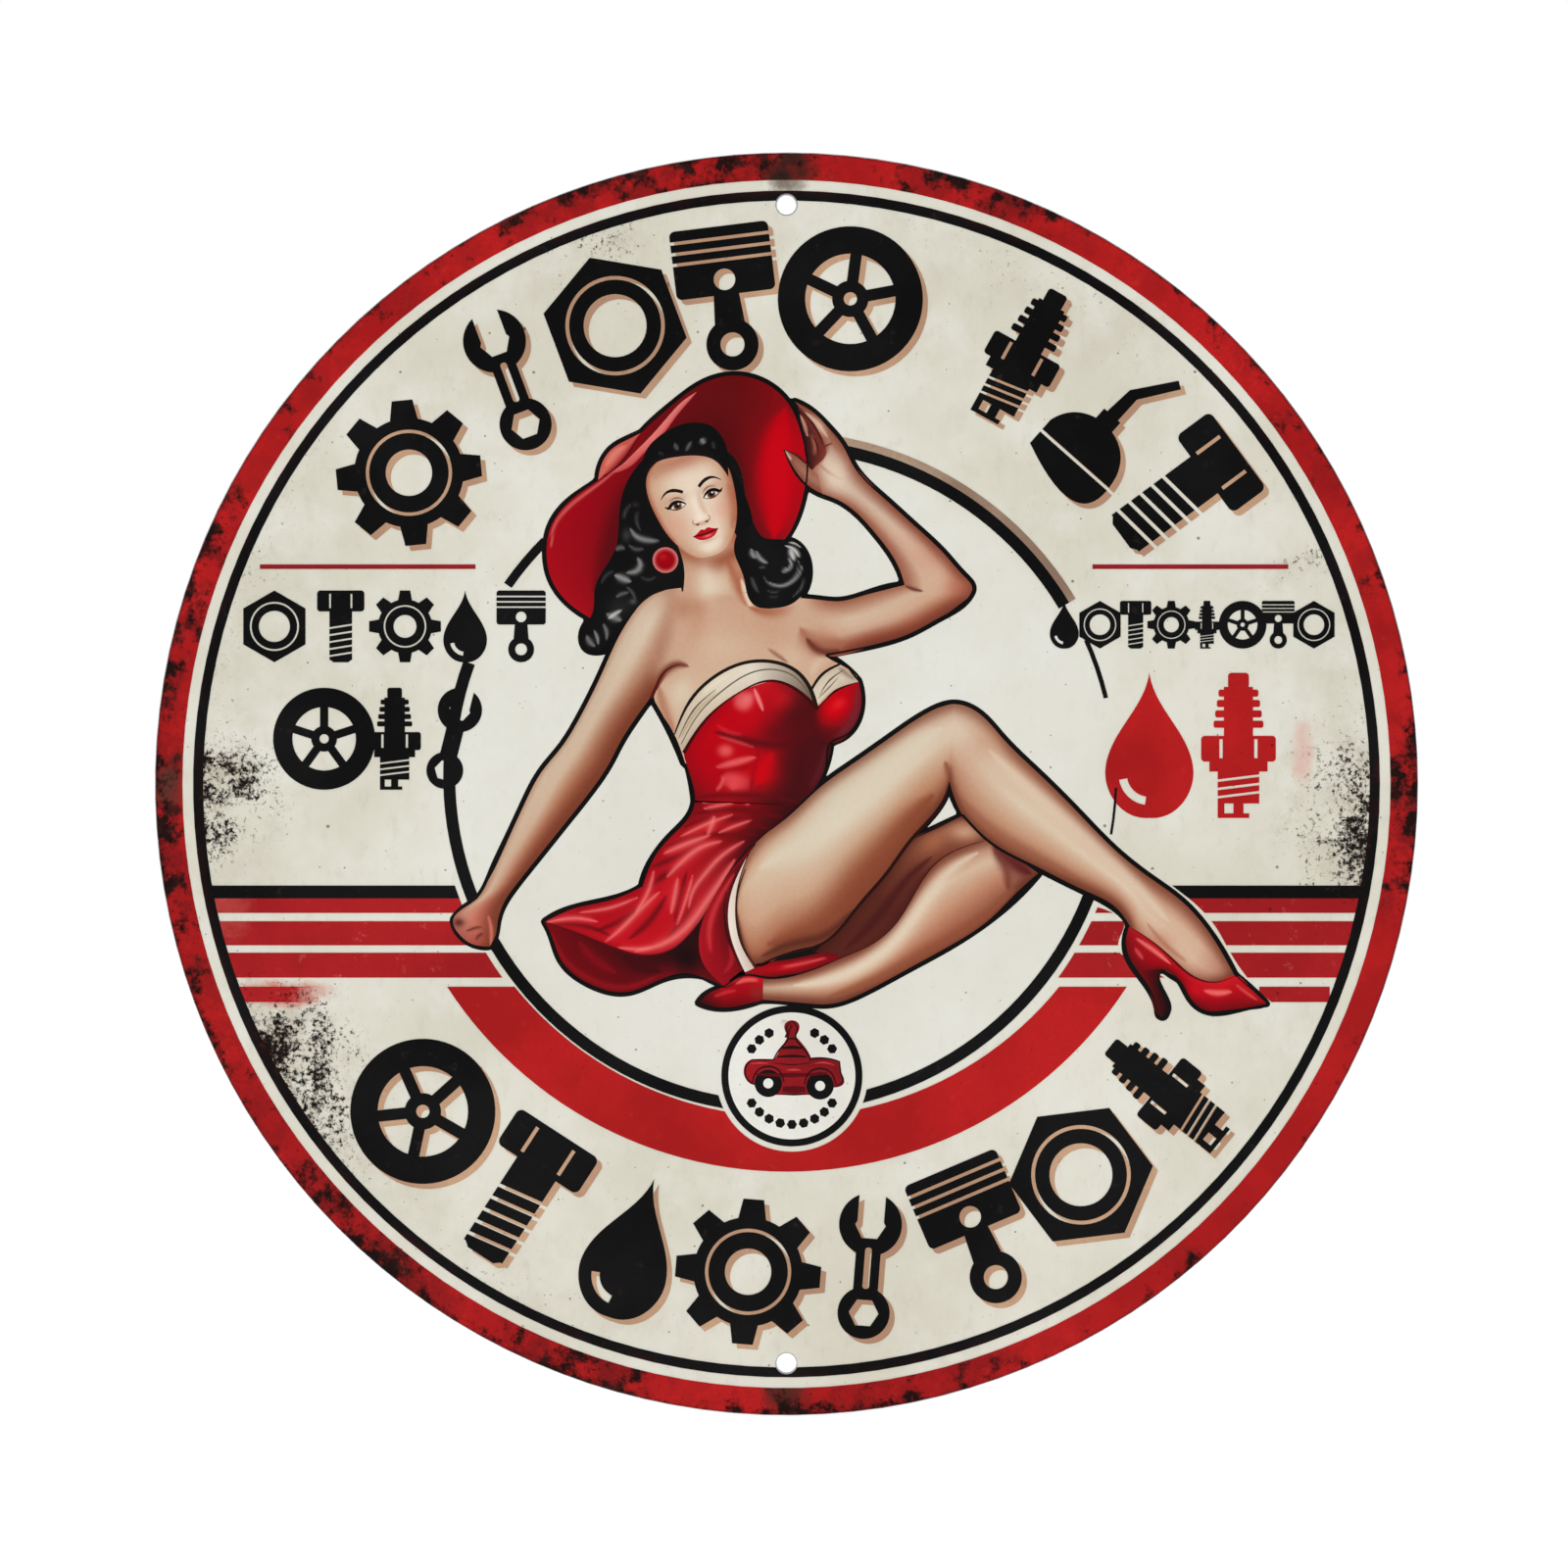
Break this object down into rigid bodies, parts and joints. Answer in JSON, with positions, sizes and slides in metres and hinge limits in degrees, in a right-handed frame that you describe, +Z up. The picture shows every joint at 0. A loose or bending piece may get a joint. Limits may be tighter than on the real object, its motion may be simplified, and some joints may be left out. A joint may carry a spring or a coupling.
{
  "type": "round metal wall sign",
  "caption": "Flat round printed metal wall sign with a small mounting hole at top and bottom, a banded border and a seated figure between rows of workshop pictograms.",
  "frame": {"origin": "centre of the disc on its flat back face, the face that lies on the wall", "axes": "+Y out of the back face into the wall, -Y out of the printed face, +X to the right and +Z up as the sign is read"},
  "size_m": [0.3048, 0.0012, 0.3048],
  "materials": {
    "bare_aluminium": "mill finish, lightly scuffed",
    "cream_enamel": "gloss enamel, aged cream",
    "black_ink": "satin printed ink",
    "red_ink": "satin printed ink, distressed",
    "dark_red_ink": "satin printed ink",
    "tan_ink": "satin printed ink",
    "skin_ink": "satin printed ink, airbrushed tones",
    "white_ink": "satin printed ink"
  },
  "bodies": {
    "root": {"badge_car": "red_ink", "badge_ground": "white_ink", "badge_hubs": "white_ink", "badge_ring": "black_ink", "badge_studs": "black_ink", "badge_wheels": "black_ink", "black_bars": "black_ink", "bottom_pictogram_shadows": "tan_ink", "bottom_pictograms": "black_ink", "figure_back_calf": "skin_ink", "figure_back_shoe": "red_ink", "figure_back_thigh": "dark_red_ink", "figure_bodice": "red_ink", "figure_bodice_trim": "white_ink", "figure_earring": "red_ink", "figure_face": "skin_ink", "figure_fringe": "black_ink", "figure_front_leg": "skin_ink", "figure_front_shoe": "red_ink", "figure_garter_band": "white_ink", "figure_hair_back": "black_ink", "figure_hair_curls": "black_ink", "figure_hand_shadow": "dark_red_ink", "figure_hat_brim": "red_ink", "figure_hat_crown": "red_ink", "figure_key_film": "black_ink", "figure_neck_and_chest": "skin_ink", "figure_raised_arm": "skin_ink", "figure_resting_arm": "skin_ink", "figure_skirt": "red_ink", "figure_skirt_lining": "dark_red_ink", "figure_skirt_panel": "red_ink", "figure_skirt_tail": "red_ink", "ground_enamel": "cream_enamel", "inner_circle": "black_ink", "inner_circle_shadow": "tan_ink", "left_lower_pictograms": "black_ink", "left_red_bars": "red_ink", "left_upper_pictograms": "black_ink", "metal_blank": "bare_aluminium", "outer_black_ring": "black_ink", "red_arc_band": "red_ink", "red_border_band": "red_ink", "red_pictograms": "red_ink", "right_pictograms": "black_ink", "right_red_bars": "red_ink", "rules": "dark_red_ink", "top_pictogram_shadows": "tan_ink", "top_pictograms": "black_ink"}
  },
  "joints": []
}
